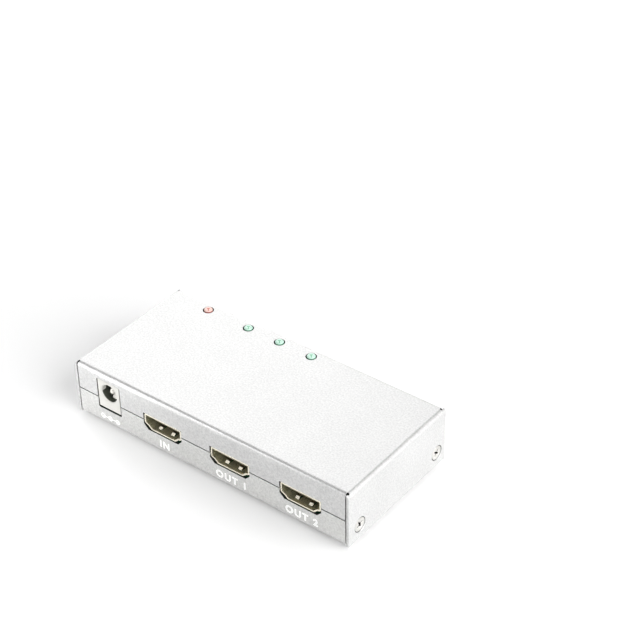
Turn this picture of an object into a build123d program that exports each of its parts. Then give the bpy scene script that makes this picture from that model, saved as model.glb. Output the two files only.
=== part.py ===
from build123d import *
import os

os.makedirs("parts", exist_ok=True)

# HDMI splitter in a folded sheet metal case: a power jack, one input and two outputs on the
# front, four lamps in the top. Millimetres, +Z up, the sockets face -Y. The origin lies on
# the table under the middle of the case.

# Sheet metal case
case_depth = 50.0
sheet = 0.8
inner_bend = 0.8
seam_height = 9.9
seam_gap = 0.45
corner_gap = 0.4
wall_clearance = 0.1
relief_diameter = 1.0
top_margin = 2.6
left_margin = 9.5
right_margin = 10.25

# Feet under the tray
foot_diameter = 8.0
foot_height = 1.5
foot_taper = 12.0
foot_inset_x = 16.0
foot_inset_y = 10.0

# Screws through the side walls
case_screw_diameter = 3.0
case_screw_head = 5.4
case_screw_length = 4.0
case_screw_height = 4.9
front_screw_inset = 5.8
back_screw_inset = 4.2
screw_clearance = 0.05

# Circuit board on its standoffs
board_thickness = 1.6
board_corner = 1.0
board_front_gap = 0.5
board_back_gap = 1.0
board_side_gap = 1.0
standoff_height = 4.2
standoff_across_flats = 5.0
board_screw_diameter = 3.0
board_screw_head = 5.4
board_screw_head_height = 1.9
board_screw_head_taper = 25.0
board_screw_length = 5.0
board_hole_clearance = 0.1
front_standoff_inset = 5.0
back_standoff_inset = 4.0
side_standoff_inset = 3.8
solder_depth = 1.0
solder_clearance = 0.2

# Power jack
jack_width = 9.0
jack_height = 10.6
jack_body_depth = 13.2
jack_flange = 3.4
jack_barrel_radius = 4.2
jack_bore = 6.3
jack_bore_depth = 9.8
jack_bore_height = 6.3
jack_mouth_chamfer = 0.35
jack_recess = 0.1
jack_gap = 10.25
jack_gap_above = 0.2
jack_gap_below = 0.8
jack_gap_side = 0.4
jack_pin_diameter = 2.0
jack_pin_root = 2.4
jack_pin_depth = 1.2
jack_pin_tip = 0.5
jack_strip = 0.4
jack_terminal_width = 2.8
jack_terminal_rise = 1.8
jack_rivet = 0.6
jack_spring_width = 2.2
jack_spring_depth = 7.8
jack_spring_bend = 1.2
jack_spring_bump_depth = 3.6
jack_spring_lift = 0.8
jack_spring_tip = 1.1
jack_slot_start = 2.2
jack_slot_side = 0.4
jack_switch_depth = 10.8
jack_switch_rise = 5.0

# HDMI sockets
socket_width = 15.0
socket_height = 5.55
socket_depth = 11.5
socket_wall = 0.5
socket_corner = 0.7
shoulder_height = 1.75
shoulder_width = 2.6
shoulder_ledge = 1.3
shoulder_drop = 0.5
shoulder_hollow = 0.5
socket_gap = 12.0
socket_seat = 0.15
lip_recess = 0.3
port_clearance = 0.3
port_corner = 1.7
jack_port_corner = 0.6

# Spring fingers cut from the socket shells
finger_width = 1.3
finger_thickness = 0.3
finger_root = 6.8
finger_bump = 2.2
finger_tip = 1.5
finger_rise = 0.45
finger_slot = 0.25
lower_finger_spacing = 5.1
upper_finger_spacing = 8.6
side_finger_height = 3.6

# Solder legs of the socket shells
socket_leg_width = 1.6
front_leg_depth = 3.0
back_leg_depth = 9.4

# Insulator and contacts of the sockets
tongue_width = 11.0
tongue_thickness = 1.2
tongue_height = 2.85
tongue_recess = 1.9
tongue_chamfer = 0.25
block_start = 7.4
insulator_fit = 0.05
contact_pitch = 1.0
contact_width = 0.35
contact_thickness = 0.2
upper_contacts = 10
lower_contacts = 9
contact_setback = 0.4
foot_reach = 1.0

# Lamps in the top
lamp_diameter = 3.0
lamp_length = 5.3
lamp_dome = 0.6
lamp_flange_diameter = 3.8
lamp_flange_thickness = 1.0
lamp_hole = 3.7
lamp_stand = 0.5
lamp_inset = 3.8
lamp_leg = 0.5
lamp_leg_spacing = 2.54
power_lamp_inset = 16.5
power_lamp_gap = 17.0
lamp_pitch = 12.85

# Chips and small parts on the board
chip_standoff = 0.1
chip_chamfer = 0.25
lead_thickness = 0.15
lead_shoulder = 0.3
splitter_size = 10.0
splitter_thickness = 1.4
splitter_span = 12.0
splitter_leads_per_side = 11
splitter_lead_pitch = 0.8
splitter_lead_width = 0.35
splitter_gap = 0.8
memory_length = 4.9
memory_width = 3.9
memory_thickness = 1.45
memory_span = 6.0
memory_leads_per_side = 4
memory_lead_pitch = 1.27
memory_lead_width = 0.4
regulator_length = 6.5
regulator_width = 3.5
regulator_thickness = 1.6
regulator_span = 7.0
regulator_lead_pitch = 2.3
regulator_lead_width = 0.7
regulator_tab_width = 3.0
regulator_gap = 2.5
inductor_size = 5.0
inductor_height = 2.4
inductor_corner = 0.8
inductor_bevel = 0.3
inductor_gap = 3.0
crystal_length = 11.3
crystal_width = 4.6
crystal_height = 3.5
crystal_flange = 0.4
crystal_gap = 2.5
capacitor_diameter = 6.3
capacitor_height = 5.4
capacitor_base_size = 6.6
capacitor_base_height = 0.8
capacitor_base_corner = 1.3
capacitor_crimp = 0.3
capacitor_crimp_height = 1.2
capacitor_gap = 2.5
chip_capacitor_length = 2.0
chip_capacitor_width = 1.25
chip_capacitor_height = 0.8
chip_capacitor_count = 5
chip_capacitor_spacing = 2.4
chip_capacitor_gap = 1.2
chip_resistor_length = 1.6
chip_resistor_width = 0.8
chip_resistor_height = 0.45
chip_resistor_count = 6
chip_resistor_spacing = 1.6
chip_resistor_gap = 1.5
lamp_resistor_gap = 2.5

# Levels, worked out from the table upwards
outer_bend = inner_bend + sheet
case_bottom = foot_height
floor_top = case_bottom + sheet
board_bottom = floor_top + standoff_height
board_top = board_bottom + board_thickness
socket_bottom = board_top + socket_seat
bore_level = board_top + jack_bore_height
case_top = board_top + jack_height + jack_gap_above + top_margin
seam = case_bottom + seam_height
case_screw_level = case_bottom + case_screw_height

# Across the front: jack, then three sockets at one pitch
socket_pitch = socket_width + socket_gap
row_width = jack_width + jack_gap + 3 * socket_width + 2 * socket_gap
case_width = left_margin + row_width + right_margin
half_width = case_width / 2
jack_x = -half_width + left_margin + jack_width / 2
first_socket_x = jack_x + jack_width / 2 + jack_gap + socket_width / 2
sockets = {
    "hdmi_input": first_socket_x,
    "hdmi_output_1": first_socket_x + socket_pitch,
    "hdmi_output_2": first_socket_x + 2 * socket_pitch,
}

# From front to back
front_face = -case_depth / 2
back_face = case_depth / 2
front_inside = front_face + sheet
back_inside = back_face - sheet
lip = front_face + lip_recess
jack_face = front_face + jack_recess
front_plane = Plane.XZ.offset(-front_face)
lip_plane = Plane.XZ.offset(-lip)
jack_plane = Plane.XZ.offset(-jack_face)

# Side walls of the cover and, inside them, of the tray
flange_width = case_width - 2 * (sheet + corner_gap)
tray_width = case_width - 2 * (sheet + wall_clearance)
flat_half_width = half_width - outer_bend
flat_half_depth = case_depth / 2 - outer_bend
tray_wall_length = 2 * flat_half_depth
wall_inside = half_width - sheet
relief_inset = sheet + corner_gap / 2
screw_rows = (front_face + front_screw_inset, back_face - back_screw_inset)

# Board outline and the points where it is screwed down
screw_reach = case_screw_length - 2 * sheet - wall_clearance
board_half = tray_width / 2 - sheet - screw_reach - board_side_gap
board_front = front_inside + board_front_gap
board_back = back_inside - board_back_gap
standoff_points = (
    (jack_x + jack_width / 2 + jack_gap / 2, board_front + front_standoff_inset),
    (sockets["hdmi_output_1"] + socket_pitch / 2, board_front + front_standoff_inset),
    (-board_half + side_standoff_inset, board_back - back_standoff_inset),
    (board_half - side_standoff_inset, board_back - back_standoff_inset),
)
leg_depths = (front_leg_depth, back_leg_depth)

# Lamps, counted from the power lamp on the left
lamp_row = back_face - lamp_inset
power_lamp_x = -half_width + power_lamp_inset
lamps = {
    "led_power": power_lamp_x,
    "led_input": power_lamp_x + power_lamp_gap,
    "led_output_1": power_lamp_x + power_lamp_gap + lamp_pitch,
    "led_output_2": power_lamp_x + power_lamp_gap + 2 * lamp_pitch,
}
lamp_flange_bottom = case_top + lamp_stand - lamp_length

# Rows of small parts behind the sockets and the jack
tail_end = lip + socket_depth + contact_setback + foot_reach
resistor_row = tail_end + chip_resistor_gap + chip_resistor_length / 2
lamp_resistor_row = lamp_row - lamp_resistor_gap - chip_resistor_length / 2
splitter_x = sockets["hdmi_output_1"]
splitter_y = resistor_row + chip_resistor_length / 2 + splitter_gap + splitter_span / 2
capacitor_row = splitter_y + splitter_span / 2 + chip_capacitor_gap + chip_capacitor_length / 2
crystal_x = splitter_x + splitter_span / 2 + crystal_gap + crystal_width / 2
memory_points = ((sockets["hdmi_input"], splitter_y), (sockets["hdmi_output_2"], splitter_y))
jack_back = jack_face + jack_body_depth + jack_strip + jack_rivet
regulator_y = jack_back + regulator_gap + regulator_span / 2
inductor_x = jack_x + regulator_length / 2 + inductor_gap + inductor_size / 2
capacitor_y = regulator_y + regulator_span / 2 + capacitor_gap + capacitor_base_size / 2


# Openings in the front
def port_openings():
    """The jack's and the sockets' openings as one sketch on the front face."""
    half = socket_width / 2 + port_clearance
    below = socket_bottom - port_clearance
    above = socket_bottom + socket_height + port_clearance
    jack_level = board_top + (jack_height + jack_gap_above - jack_gap_below) / 2
    with BuildSketch(front_plane) as openings:
        with Locations((jack_x, jack_level)):
            RectangleRounded(
                jack_width + 2 * jack_gap_side,
                jack_height + jack_gap_above + jack_gap_below,
                jack_port_corner,
            )
        for x in sockets.values():
            Polygon(
                (x - half, above),
                (x - half, below + port_corner),
                (x - half + port_corner, below),
                (x + half - port_corner, below),
                (x + half, below + port_corner),
                (x + half, above),
                align=None,
            )
    return openings.sketch


def side_planes():
    """The outside of the left and of the right wall, each seen from outside."""
    for side in (-1, 1):
        yield side, Plane(origin=(side * half_width, 0, 0), x_dir=(0, side, 0), z_dir=(side, 0, 0))


# Upper flanges of the cover with the middle of its top. Their bends end in mitres.
with BuildPart() as cover_flanges:
    with BuildSketch(Plane.YZ.offset(-flange_width / 2)):
        with BuildLine():
            FilletPolyline(
                (front_face, seam + seam_gap / 2),
                (front_face, case_top),
                (back_face, case_top),
                (back_face, seam + seam_gap / 2),
                radius=outer_bend,
            )
            offset(amount=sheet, side=Side.RIGHT)
        make_face()
    extrude(amount=flange_width)
    with BuildSketch(Plane.XY.offset(case_top)):
        for side in (-1, 1):
            for end in (-1, 1):
                Polygon(
                    (side * flat_half_width, end * flat_half_depth),
                    (side * half_width, end * case_depth / 2),
                    (side * half_width, end * flat_half_depth),
                    align=None,
                )
    extrude(amount=-outer_bend, mode=Mode.SUBTRACT)

# Cover: top and full side walls. Short slots part its side bends from the flanges' bends.
with BuildPart() as top_cover:
    with BuildSketch(Plane.XZ.offset(-back_face)):
        with BuildLine():
            FilletPolyline(
                (-half_width, case_bottom),
                (-half_width, case_top),
                (half_width, case_top),
                (half_width, case_bottom),
                radius=outer_bend,
            )
            offset(amount=sheet, side=Side.RIGHT)
        make_face()
    extrude(amount=case_depth)
    with BuildSketch(Plane.XY.offset(case_top)):
        for end in (-1, 1):
            Polygon(
                (-wall_inside, end * case_depth / 2),
                (wall_inside, end * case_depth / 2),
                (wall_inside, end * (flat_half_depth + wall_inside - flat_half_width)),
                (flat_half_width, end * flat_half_depth),
                (-flat_half_width, end * flat_half_depth),
                (-wall_inside, end * (flat_half_depth + wall_inside - flat_half_width)),
                align=None,
            )
    extrude(amount=-outer_bend, mode=Mode.SUBTRACT)
    add(cover_flanges.part)
    # Round reliefs where the slots between the bends end
    with BuildSketch(Plane.XY.offset(case_top)):
        with GridLocations(case_width - 2 * relief_inset, case_depth - 2 * relief_inset, 2, 2):
            Circle(relief_diameter / 2)
    extrude(amount=-outer_bend, mode=Mode.SUBTRACT)
    extrude(port_openings(), amount=-sheet, mode=Mode.SUBTRACT)
    with BuildSketch(Plane.XY.offset(case_top)):
        with Locations(*[(x, lamp_row) for x in lamps.values()]):
            Circle(lamp_hole / 2)
    extrude(amount=-sheet, mode=Mode.SUBTRACT)
    for side, plane in side_planes():
        with Locations(plane):
            with Locations(*[(side * y, case_screw_level) for y in screw_rows]):
                CounterSinkHole(
                    radius=case_screw_diameter / 2 + screw_clearance,
                    counter_sink_radius=case_screw_head / 2 + screw_clearance,
                    depth=sheet,
                    counter_sink_angle=90,
                )
top_cover.part.label = "top_cover"
export_step(top_cover.part, "parts/top_cover.step")

# Tray: floor, lower front and back flanges, inner side walls that take the screws
with BuildPart() as bottom_tray:
    with BuildSketch(Plane.YZ.offset(-flange_width / 2)):
        with BuildLine():
            FilletPolyline(
                (front_face, seam - seam_gap / 2),
                (front_face, case_bottom),
                (back_face, case_bottom),
                (back_face, seam - seam_gap / 2),
                radius=outer_bend,
            )
            offset(amount=sheet, side=Side.LEFT)
        make_face()
    extrude(amount=flange_width)
    # The floor's edges make way for the side bends
    with BuildSketch(Plane.XY.offset(case_bottom)):
        with Locations((-flange_width / 2, 0), (flange_width / 2, 0)):
            Rectangle(2 * outer_bend, tray_wall_length)
    extrude(amount=sheet, mode=Mode.SUBTRACT)
    with BuildSketch(Plane.XZ.offset(-tray_wall_length / 2)):
        with BuildLine():
            FilletPolyline(
                (-tray_width / 2, seam - seam_gap / 2),
                (-tray_width / 2, case_bottom),
                (tray_width / 2, case_bottom),
                (tray_width / 2, seam - seam_gap / 2),
                radius=outer_bend,
            )
            offset(amount=sheet, side=Side.LEFT)
        make_face()
    extrude(amount=tray_wall_length)
    with BuildSketch(Plane.XY.offset(case_bottom)):
        with GridLocations(tray_width - 2 * outer_bend, tray_wall_length, 2, 2):
            Circle(relief_diameter / 2)
    extrude(amount=outer_bend, mode=Mode.SUBTRACT)
    extrude(port_openings(), amount=-sheet, mode=Mode.SUBTRACT)
    with BuildSketch(Plane.XY.offset(case_bottom)):
        with Locations(*standoff_points):
            RegularPolygon(standoff_across_flats / 2, 6, major_radius=False)
    extrude(amount=sheet, mode=Mode.SUBTRACT)
    for side, plane in side_planes():
        with Locations(plane):
            with Locations(*[(side * y, case_screw_level) for y in screw_rows]):
                CounterSinkHole(
                    radius=case_screw_diameter / 2 + screw_clearance,
                    counter_sink_radius=case_screw_head / 2 + screw_clearance,
                    depth=case_screw_length,
                    counter_sink_angle=90,
                )
bottom_tray.part.label = "bottom_tray"
export_step(bottom_tray.part, "parts/bottom_tray.step")

# Countersunk screws, two in each side
with BuildPart() as side_screws:
    head_depth = (case_screw_head - case_screw_diameter) / 2
    for side, plane in side_planes():
        for y in screw_rows:
            inward = Plane(
                origin=(side * half_width, y, case_screw_level),
                x_dir=(0, side, 0),
                z_dir=(0, 0, 1),
            )
            with BuildSketch(inward):
                Polygon(
                    (0, 0),
                    (case_screw_head / 2, 0),
                    (case_screw_diameter / 2, head_depth),
                    (case_screw_diameter / 2, case_screw_length),
                    (0, case_screw_length),
                    align=None,
                )
            revolve(axis=Axis((0, y, case_screw_level), (1, 0, 0)))
side_screws.part.label = "side_screws"
export_step(side_screws.part, "parts/side_screws.step")

# Tapered rubber feet
with BuildPart() as rubber_feet:
    with BuildSketch(Plane.XY.offset(foot_height)):
        with GridLocations(case_width - 2 * foot_inset_x, case_depth - 2 * foot_inset_y, 2, 2):
            Circle(foot_diameter / 2)
    extrude(amount=-foot_height, taper=foot_taper)
rubber_feet.part.label = "rubber_feet"
export_step(rubber_feet.part, "parts/rubber_feet.step")

# Hexagonal standoffs pressed through the floor
with BuildPart() as standoffs:
    with BuildSketch(Plane.XY.offset(case_bottom)):
        with Locations(*standoff_points):
            RegularPolygon(standoff_across_flats / 2, 6, major_radius=False)
            Circle(board_screw_diameter / 2 + screw_clearance, mode=Mode.SUBTRACT)
    extrude(amount=sheet + standoff_height)
standoffs.part.label = "standoffs"
export_step(standoffs.part, "parts/standoffs.step")

# Circuit board with the holes for its screws and for every leg soldered through it
with BuildPart() as circuit_board:
    with BuildSketch(Plane.XY.offset(board_bottom)):
        with Locations((0, (board_front + board_back) / 2)):
            RectangleRounded(2 * board_half, board_back - board_front, board_corner)
        with Locations(*standoff_points):
            Circle(board_screw_diameter / 2 + board_hole_clearance, mode=Mode.SUBTRACT)
        for x in sockets.values():
            for depth in leg_depths:
                with Locations((x, lip + depth)):
                    with GridLocations(socket_width - socket_wall, 0, 2, 1):
                        Rectangle(
                            socket_wall + 2 * solder_clearance,
                            socket_leg_width + 2 * solder_clearance,
                            mode=Mode.SUBTRACT,
                        )
        with Locations(
            (jack_x, jack_face + jack_spring_depth),
            (jack_x, jack_face + jack_body_depth + jack_strip / 2),
        ):
            Rectangle(
                jack_terminal_width + 2 * solder_clearance,
                jack_strip + 2 * solder_clearance,
                mode=Mode.SUBTRACT,
            )
        with Locations((jack_x - jack_barrel_radius - jack_strip / 2, jack_face + jack_switch_depth)):
            Rectangle(
                jack_strip + 2 * solder_clearance,
                jack_terminal_width + 2 * solder_clearance,
                mode=Mode.SUBTRACT,
            )
        with Locations(*[(x, lamp_row) for x in lamps.values()]):
            with GridLocations(lamp_leg_spacing, 0, 2, 1):
                Rectangle(
                    lamp_leg + 2 * solder_clearance,
                    lamp_leg + 2 * solder_clearance,
                    mode=Mode.SUBTRACT,
                )
    extrude(amount=board_thickness)
circuit_board.part.label = "circuit_board"
export_step(circuit_board.part, "parts/circuit_board.step")

# Pan head screws that hold the board
with BuildPart() as board_screws:
    with BuildSketch(Plane.XY.offset(board_top)):
        with Locations(*standoff_points):
            Circle(board_screw_head / 2)
    extrude(amount=board_screw_head_height, taper=board_screw_head_taper)
    with BuildSketch(Plane.XY.offset(board_top)):
        with Locations(*standoff_points):
            Circle(board_screw_diameter / 2)
    extrude(amount=-board_screw_length)
board_screws.part.label = "board_screws"
export_step(board_screws.part, "parts/board_screws.step")

# Jack housing: square mouth, rounded barrel, the bore and the spring's slot under it
with BuildPart() as jack_housing:
    with BuildSketch(jack_plane):
        with Locations((jack_x, board_top + jack_height / 2)):
            Rectangle(jack_width, jack_height)
    extrude(amount=-jack_flange)
    with BuildSketch(jack_plane):
        with Locations((jack_x, bore_level)):
            Circle(jack_barrel_radius)
        with Locations((jack_x, (board_top + bore_level) / 2)):
            Rectangle(2 * jack_barrel_radius, bore_level - board_top)
    extrude(amount=-jack_body_depth)
    with BuildSketch(jack_plane):
        with Locations((jack_x, bore_level)):
            Circle(jack_bore / 2)
    extrude(amount=-jack_bore_depth, mode=Mode.SUBTRACT)
    mouth = jack_housing.faces().sort_by(Axis.Y)[0].edges().filter_by(GeomType.CIRCLE)
    chamfer(mouth, jack_mouth_chamfer)
    with BuildSketch(jack_plane):
        with Locations((jack_x, bore_level)):
            Circle(jack_pin_root / 2)
    extrude(amount=-jack_body_depth, mode=Mode.SUBTRACT)
    slot_end = jack_spring_depth + jack_spring_bend
    slot_top = bore_level - jack_pin_diameter
    with BuildSketch(Plane.XY.offset(board_top)):
        with Locations((jack_x, jack_face + (jack_slot_start + slot_end) / 2)):
            Rectangle(jack_spring_width + 2 * jack_slot_side, slot_end - jack_slot_start)
    extrude(amount=slot_top - board_top, mode=Mode.SUBTRACT)
jack_housing.part.label = "dc_jack_housing"
export_step(jack_housing.part, "parts/dc_jack_housing.step")

# Centre pin with a thicker root in the housing, riveted to the terminal behind it
with BuildPart() as jack_pin:
    with BuildSketch(jack_plane.offset(-jack_pin_depth)):
        with Locations((jack_x, bore_level)):
            Circle(jack_pin_diameter / 2)
    extrude(amount=-(jack_bore_depth - jack_pin_depth))
    chamfer(jack_pin.faces().sort_by(Axis.Y)[0].edges(), jack_pin_tip)
    with BuildSketch(jack_plane.offset(-jack_bore_depth)):
        with Locations((jack_x, bore_level)):
            Circle(jack_pin_root / 2)
    extrude(amount=-(jack_body_depth + jack_strip + jack_rivet - jack_bore_depth))
    terminal_top = bore_level + jack_terminal_rise
    terminal_foot = board_bottom - solder_depth
    with BuildSketch(jack_plane.offset(-jack_body_depth)):
        with Locations((jack_x, (terminal_top + terminal_foot) / 2)):
            Rectangle(jack_terminal_width, terminal_top - terminal_foot)
    extrude(amount=-jack_strip)
jack_pin.part.label = "dc_jack_pin"
export_step(jack_pin.part, "parts/dc_jack_pin.step")

# Leaf spring that presses on the plug's sleeve from below
with BuildPart() as jack_spring:
    spring_top = bore_level - jack_bore / 2 + jack_spring_lift
    with BuildSketch(Plane.YZ.offset(jack_x - jack_spring_width / 2)):
        with BuildLine():
            Polyline(
                (jack_face + jack_spring_depth, terminal_foot),
                (jack_face + jack_spring_depth, board_top + jack_spring_bend),
                (jack_face + jack_spring_bump_depth, spring_top),
                (jack_face + jack_slot_start + jack_slot_side, spring_top - jack_spring_tip),
            )
        trace(line_width=jack_strip)
    extrude(amount=jack_spring_width)
jack_spring.part.label = "dc_jack_spring"
export_step(jack_spring.part, "parts/dc_jack_spring.step")

# Switch contact against the housing's left side
with BuildPart() as jack_switch:
    switch_top = board_top + jack_switch_rise
    with BuildSketch(Plane.YZ.offset(jack_x - jack_barrel_radius)):
        with Locations((jack_face + jack_switch_depth, (switch_top + terminal_foot) / 2)):
            Rectangle(jack_terminal_width, switch_top - terminal_foot)
    extrude(amount=-jack_strip)
jack_switch.part.label = "dc_jack_switch"
export_step(jack_switch.part, "parts/dc_jack_switch.step")


# One socket's pieces, drawn about its own centre line
def socket_outline(x):
    """The shell's outside seen from the front: square above, a hollow shoulder at each lower corner."""
    half = socket_width / 2
    z = socket_bottom
    right = [
        (half - shoulder_width, z),
        (half - shoulder_ledge, z + shoulder_height - shoulder_drop),
        (half, z + shoulder_height),
        (half, z + socket_height),
    ]
    left = [(-a, b) for a, b in reversed(right)]
    radii = (socket_corner, shoulder_hollow, socket_corner, socket_corner)
    with BuildSketch() as outline:
        with BuildLine():
            FilletPolyline(
                *[(x + a, b) for a, b in right + left],
                radius=radii + tuple(reversed(radii)),
                close=True,
            )
        make_face()
    return outline.sketch


def finger_planes(x):
    """Planes across each spring finger: x runs into the socket and y away from its wall."""
    half = socket_width / 2
    for a in (-lower_finger_spacing / 2, lower_finger_spacing / 2):
        yield Plane(origin=(x + a, lip, socket_bottom), x_dir=(0, 1, 0), z_dir=(1, 0, 0))
    for a in (-upper_finger_spacing / 2, upper_finger_spacing / 2):
        level = socket_bottom + socket_height
        yield Plane(origin=(x + a, lip, level), x_dir=(0, 1, 0), z_dir=(-1, 0, 0))
    for side in (-1, 1):
        level = socket_bottom + side_finger_height
        yield Plane(origin=(x + side * half, lip, level), x_dir=(0, 1, 0), z_dir=(0, 0, side))


for port, x in sockets.items():
    # Shell with six fingers and four solder legs
    with BuildPart() as shell:
        with BuildSketch(lip_plane):
            add(socket_outline(x))
            offset(amount=-socket_wall, mode=Mode.SUBTRACT)
        extrude(amount=-socket_depth)
        for plane in finger_planes(x):
            with BuildSketch(plane):
                with Locations(((finger_tip + finger_root - finger_slot) / 2, socket_wall / 2)):
                    Rectangle(finger_root - finger_tip + finger_slot, 2 * socket_wall)
            extrude(amount=finger_width / 2 + finger_slot, both=True, mode=Mode.SUBTRACT)
            with BuildSketch(plane):
                with BuildLine():
                    Polyline(
                        (finger_root + finger_thickness, socket_wall / 2),
                        (finger_root, socket_wall / 2),
                        (finger_bump, socket_wall + finger_rise - finger_thickness / 2),
                        (finger_tip, socket_wall / 2),
                    )
                trace(line_width=finger_thickness)
            extrude(amount=finger_width / 2, both=True)
        leg_top = socket_bottom + shoulder_height + socket_wall
        leg_foot = board_bottom - solder_depth
        for depth in leg_depths:
            with BuildSketch(Plane.XY.offset(leg_foot)):
                with Locations((x, lip + depth)):
                    with GridLocations(socket_width - socket_wall, 0, 2, 1):
                        Rectangle(socket_wall, socket_leg_width)
            extrude(amount=leg_top - leg_foot)
    shell.part.label = f"{port}_shell"
    export_step(shell.part, f"parts/{port}_shell.step")

    # Contacts in two rows, their tails side by side behind the socket
    with BuildPart() as contacts:
        tail = lip + socket_depth + contact_setback
        for count, side in ((upper_contacts, 1), (lower_contacts, -1)):
            level = socket_bottom + tongue_height + side * (tongue_thickness + contact_thickness) / 2
            for i in range(count):
                a = x + (i - (count - 1) / 2) * contact_pitch - contact_width / 2
                with BuildSketch(Plane.YZ.offset(a)):
                    with BuildLine():
                        Polyline(
                            (lip + tongue_recess + contact_setback, level),
                            (tail, level),
                            (tail, board_top + contact_thickness / 2),
                            (tail + foot_reach, board_top + contact_thickness / 2),
                        )
                    trace(line_width=contact_thickness)
                extrude(amount=contact_width)
    contacts.part.label = f"{port}_contacts"
    export_step(contacts.part, f"parts/{port}_contacts.step")

    # Insulator: a block that fills the back of the shell and the tongue in front of it
    with BuildPart() as insulator:
        with BuildSketch(lip_plane.offset(-block_start)):
            add(socket_outline(x))
            offset(amount=-(socket_wall + insulator_fit), mode=Mode.REPLACE)
        extrude(amount=-(socket_depth - block_start))
        with BuildSketch(lip_plane.offset(-tongue_recess)):
            with Locations((x, socket_bottom + tongue_height)):
                Rectangle(tongue_width, tongue_thickness)
        extrude(amount=-(block_start - tongue_recess))
        chamfer(insulator.faces().sort_by(Axis.Y)[0].edges(), tongue_chamfer)
        add(contacts.part, mode=Mode.SUBTRACT)
    insulator.part.label = f"{port}_insulator"
    export_step(insulator.part, f"parts/{port}_insulator.step")

# Lamps: a domed lens with its flange, standing on two legs
for lamp, x in lamps.items():
    with BuildPart() as lens:
        with BuildSketch(Plane.XZ.offset(-lamp_row)):
            with BuildLine():
                rim = lamp_flange_bottom + lamp_length - lamp_dome
                step = lamp_flange_bottom + lamp_flange_thickness
                Polyline(
                    (x, rim + lamp_dome),
                    (x, lamp_flange_bottom),
                    (x + lamp_flange_diameter / 2, lamp_flange_bottom),
                    (x + lamp_flange_diameter / 2, step),
                    (x + lamp_diameter / 2, step),
                    (x + lamp_diameter / 2, rim),
                )
                TangentArc((x, rim + lamp_dome), (x + lamp_diameter / 2, rim), tangent=(1, 0))
            make_face()
        revolve(axis=Axis((x, lamp_row, 0), (0, 0, 1)))
    lens.part.label = f"{lamp}_lens"
    export_step(lens.part, f"parts/{lamp}_lens.step")

    with BuildPart() as legs:
        with BuildSketch(Plane.XY.offset(lamp_flange_bottom)):
            with Locations((x, lamp_row)):
                with GridLocations(lamp_leg_spacing, 0, 2, 1):
                    Rectangle(lamp_leg, lamp_leg)
        extrude(amount=board_bottom - solder_depth - lamp_flange_bottom)
    legs.part.label = f"{lamp}_legs"
    export_step(legs.part, f"parts/{lamp}_legs.step")


# Chips
def chip_body(points, length, width, thickness):
    """Moulded bodies with bevelled tops, one at each point of the board."""
    with BuildPart() as body:
        with BuildSketch(Plane.XY.offset(board_top + chip_standoff)):
            with Locations(*points):
                Rectangle(length, width)
        extrude(amount=thickness)
        chamfer(body.edges().group_by(Axis.Z)[-1], chip_chamfer)
    return body.part


def bent_lead(inner, outer, rise, width):
    """A lead that leaves a chip's side, bends down and lies flat on the board."""
    with BuildPart() as lead:
        with BuildSketch(Plane.XZ.offset(-width / 2)):
            with BuildLine():
                Polyline(
                    (inner, rise),
                    (inner + lead_shoulder, rise),
                    (inner + 2 * lead_shoulder, lead_thickness / 2),
                    (outer, lead_thickness / 2),
                )
            trace(line_width=lead_thickness)
        extrude(amount=width)
    return lead.part


splitter_chip = chip_body([(splitter_x, splitter_y)], splitter_size, splitter_size, splitter_thickness)
splitter_chip.label = "splitter_chip"
export_step(splitter_chip, "parts/splitter_chip.step")

splitter_lead = bent_lead(
    splitter_size / 2,
    splitter_span / 2,
    chip_standoff + splitter_thickness / 2,
    splitter_lead_width,
)
with BuildPart() as splitter_leads:
    with Locations((splitter_x, splitter_y, board_top)):
        with PolarLocations(0, 4):
            with GridLocations(0, splitter_lead_pitch, 1, splitter_leads_per_side):
                add(splitter_lead)
splitter_leads.part.label = "splitter_chip_leads"
export_step(splitter_leads.part, "parts/splitter_chip_leads.step")

memory_chips = chip_body(memory_points, memory_length, memory_width, memory_thickness)
memory_chips.label = "memory_chips"
export_step(memory_chips, "parts/memory_chips.step")

memory_lead = bent_lead(
    memory_width / 2,
    memory_span / 2,
    chip_standoff + memory_thickness / 2,
    memory_lead_width,
)
with BuildPart() as memory_leads:
    with Locations(*[(x, y, board_top) for x, y in memory_points]):
        with PolarLocations(0, 2, start_angle=90):
            with GridLocations(0, memory_lead_pitch, 1, memory_leads_per_side):
                add(memory_lead)
memory_leads.part.label = "memory_chip_leads"
export_step(memory_leads.part, "parts/memory_chip_leads.step")

# Regulator behind the jack: three leads to the front, a wide tab to the back
regulator = chip_body([(jack_x, regulator_y)], regulator_length, regulator_width, regulator_thickness)
regulator.label = "regulator"
export_step(regulator, "parts/regulator.step")

regulator_rise = chip_standoff + regulator_thickness / 2
regulator_lead = bent_lead(regulator_width / 2, regulator_span / 2, regulator_rise, regulator_lead_width)
regulator_tab = bent_lead(regulator_width / 2, regulator_span / 2, regulator_rise, regulator_tab_width)
with BuildPart() as regulator_leads:
    with Locations((jack_x, regulator_y, board_top)):
        with PolarLocations(0, 1, start_angle=-90):
            with GridLocations(0, regulator_lead_pitch, 1, 3):
                add(regulator_lead)
        with PolarLocations(0, 1, start_angle=90):
            add(regulator_tab)
regulator_leads.part.label = "regulator_leads"
export_step(regulator_leads.part, "parts/regulator_leads.step")

# Moulded inductor
with BuildPart() as inductor:
    with BuildSketch(Plane.XY.offset(board_top)):
        with Locations((inductor_x, regulator_y)):
            Rectangle(inductor_size, inductor_size)
    extrude(amount=inductor_height)
    chamfer(inductor.edges().filter_by(Axis.Z), inductor_corner)
    chamfer(inductor.edges().group_by(Axis.Z)[-1], inductor_bevel)
inductor.part.label = "inductor"
export_step(inductor.part, "parts/inductor.step")

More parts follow.
